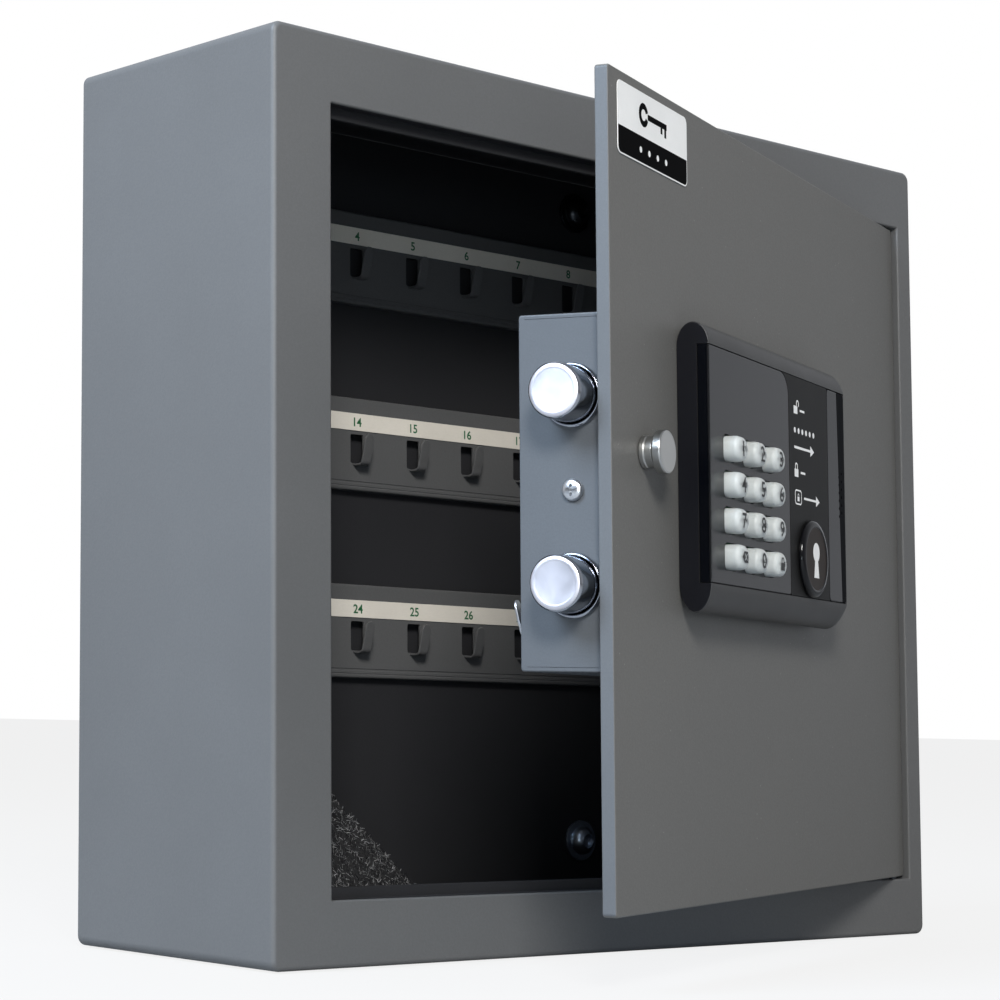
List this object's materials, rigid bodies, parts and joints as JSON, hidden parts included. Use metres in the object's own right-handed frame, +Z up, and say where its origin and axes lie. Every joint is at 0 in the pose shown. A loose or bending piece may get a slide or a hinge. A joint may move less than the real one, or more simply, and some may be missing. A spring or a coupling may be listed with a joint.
{
  "type": "electronic key cabinet",
  "caption": "Wall-mounted grey steel key cabinet with numbered hook rails, a felt floor mat and a hinged door with a keypad lock, pull knob and sliding round bolts.",
  "frame": {"origin": "centre of the rear face that lies against the wall", "axes": "+X to the right seen from the front, +Y into the wall, +Z up"},
  "size_m": [0.37, 0.2494, 0.35],
  "materials": {
    "grey_powder_coat": "fine satin texture",
    "door_powder_coat": "fine satin texture",
    "rail_powder_coat": "satin",
    "lock_case_paint": "satin",
    "label_card": "matt film",
    "needle_felt": "mottled fibre",
    "chromed_steel": "polished",
    "zinc_plated_steel": "zinc plated",
    "bright_steel": "turned",
    "lock_brass": "satin",
    "matt_black_abs": "matt",
    "gloss_black_pmma": "gloss",
    "key_white_silicone": "translucent white",
    "sticker_vinyl": "printed vinyl",
    "circuit_board_green": "solder mask",
    "red_abs": "satin",
    "cell_jacket": "shrink sleeve"
  },
  "bodies": {
    "cabinet": {"cabinet_shell": "grey_powder_coat", "back_panel": "grey_powder_coat", "wall_bolt_1": "zinc_plated_steel", "wall_bolt_2": "zinc_plated_steel", "wall_bolt_3": "zinc_plated_steel", "wall_bolt_4": "zinc_plated_steel", "key_rail_1": "rail_powder_coat", "key_rail_2": "rail_powder_coat", "key_rail_3": "rail_powder_coat", "label_strip_1": "label_card", "label_strip_2": "label_card", "label_strip_3": "label_card", "floor_mat": "needle_felt"},
    "door": {"door_panel": "door_powder_coat", "hinge_pin_top": "bright_steel", "hinge_pin_bottom": "bright_steel", "lock_base": "zinc_plated_steel", "lock_cover": "lock_case_paint", "lock_cover_screw_edge": "zinc_plated_steel", "lock_cover_screw_hinge": "zinc_plated_steel", "bolt_bush_upper": "chromed_steel", "bolt_bush_lower": "chromed_steel", "gear_motor": "bright_steel", "door_key_rail": "zinc_plated_steel", "door_label_strip": "label_card", "pull_knob": "chromed_steel", "knob_screw": "zinc_plated_steel", "door_sticker": "sticker_vinyl", "keypad_housing": "matt_black_abs", "keypad_fascia": "gloss_black_pmma", "info_panel": "matt_black_abs", "side_strip": "gloss_black_pmma", "circuit_board": "circuit_board_green", "emergency_lock_barrel": "lock_brass", "battery_box": "matt_black_abs", "battery_1": "cell_jacket", "battery_2": "cell_jacket", "battery_3": "cell_jacket", "battery_4": "cell_jacket"},
    "lock_bolts": {"lock_bolt_upper": "chromed_steel", "lock_bolt_lower": "chromed_steel", "bolt_carrier": "zinc_plated_steel"},
    "lead_screw": {"lead_screw": "bright_steel"},
    "emergency_cap": {"emergency_lock_cap": "gloss_black_pmma"},
    "emergency_plug": {"emergency_lock_plug": "lock_brass", "emergency_lock_cam": "bright_steel"},
    "battery_lid": {"battery_lid": "matt_black_abs"},
    "reset_button": {"reset_button": "red_abs"},
    "key_1": {"key_1": "key_white_silicone"},
    "key_2": {"key_2": "key_white_silicone"},
    "key_3": {"key_3": "key_white_silicone"},
    "key_4": {"key_4": "key_white_silicone"},
    "key_5": {"key_5": "key_white_silicone"},
    "key_6": {"key_6": "key_white_silicone"},
    "key_7": {"key_7": "key_white_silicone"},
    "key_8": {"key_8": "key_white_silicone"},
    "key_9": {"key_9": "key_white_silicone"},
    "key_clear": {"key_clear": "key_white_silicone"},
    "key_0": {"key_0": "key_white_silicone"},
    "key_lock": {"key_lock": "key_white_silicone"}
  },
  "joints": [
    {"name": "door_hinge", "type": "hinge", "parent": "cabinet", "child": "door", "pos_m": [0.1665, -0.1243, 0], "axis": [0, 0, 1], "range_deg": [-22.2, 75]},
    {"name": "bolt_slide", "type": "slide", "parent": "door", "child": "lock_bolts", "axis": [0.9259, 0.3778, 0], "range_m": [0, 0.0165]},
    {"name": "lead_screw_spin", "type": "hinge", "parent": "door", "child": "lead_screw", "pos_m": [-0.09822, -0.21667, -0.002], "axis": [0.9259, 0.3778, 0], "range_deg": [-8, 752]},
    {"name": "emergency_cap_pull", "type": "slide", "parent": "door", "child": "emergency_cap", "axis": [0.3778, -0.9259, 0], "range_m": [0, 0.006]},
    {"name": "emergency_plug_turn", "type": "hinge", "parent": "door", "child": "emergency_plug", "pos_m": [0.02577, -0.18173, -0.0157], "axis": [-0.3778, 0.9259, 0], "range_deg": [0, 90]},
    {"name": "battery_lid_pull", "type": "slide", "parent": "door", "child": "battery_lid", "axis": [-0.3778, 0.9259, 0], "range_m": [0, 0.012]},
    {"name": "reset_press", "type": "slide", "parent": "door", "child": "reset_button", "axis": [0.3778, -0.9259, 0], "range_m": [0, 0.0012], "stiffness_N_per_m": 120},
    {"name": "key_1_press", "type": "slide", "parent": "door", "child": "key_1", "axis": [-0.3778, 0.9259, 0], "range_m": [0, 0.0015], "stiffness_N_per_m": 180},
    {"name": "key_2_press", "type": "slide", "parent": "door", "child": "key_2", "axis": [-0.3778, 0.9259, 0], "range_m": [0, 0.0015], "stiffness_N_per_m": 180},
    {"name": "key_3_press", "type": "slide", "parent": "door", "child": "key_3", "axis": [-0.3778, 0.9259, 0], "range_m": [0, 0.0015], "stiffness_N_per_m": 180},
    {"name": "key_4_press", "type": "slide", "parent": "door", "child": "key_4", "axis": [-0.3778, 0.9259, 0], "range_m": [0, 0.0015], "stiffness_N_per_m": 180},
    {"name": "key_5_press", "type": "slide", "parent": "door", "child": "key_5", "axis": [-0.3778, 0.9259, 0], "range_m": [0, 0.0015], "stiffness_N_per_m": 180},
    {"name": "key_6_press", "type": "slide", "parent": "door", "child": "key_6", "axis": [-0.3778, 0.9259, 0], "range_m": [0, 0.0015], "stiffness_N_per_m": 180},
    {"name": "key_7_press", "type": "slide", "parent": "door", "child": "key_7", "axis": [-0.3778, 0.9259, 0], "range_m": [0, 0.0015], "stiffness_N_per_m": 180},
    {"name": "key_8_press", "type": "slide", "parent": "door", "child": "key_8", "axis": [-0.3778, 0.9259, 0], "range_m": [0, 0.0015], "stiffness_N_per_m": 180},
    {"name": "key_9_press", "type": "slide", "parent": "door", "child": "key_9", "axis": [-0.3778, 0.9259, 0], "range_m": [0, 0.0015], "stiffness_N_per_m": 180},
    {"name": "key_clear_press", "type": "slide", "parent": "door", "child": "key_clear", "axis": [-0.3778, 0.9259, 0], "range_m": [0, 0.0015], "stiffness_N_per_m": 180},
    {"name": "key_0_press", "type": "slide", "parent": "door", "child": "key_0", "axis": [-0.3778, 0.9259, 0], "range_m": [0, 0.0015], "stiffness_N_per_m": 180},
    {"name": "key_lock_press", "type": "slide", "parent": "door", "child": "key_lock", "axis": [-0.3778, 0.9259, 0], "range_m": [0, 0.0015], "stiffness_N_per_m": 180}
  ],
  "couplings": [
    {"joint": "lead_screw_spin", "follows": "bolt_slide", "rad_per_m": 785.4}
  ]
}
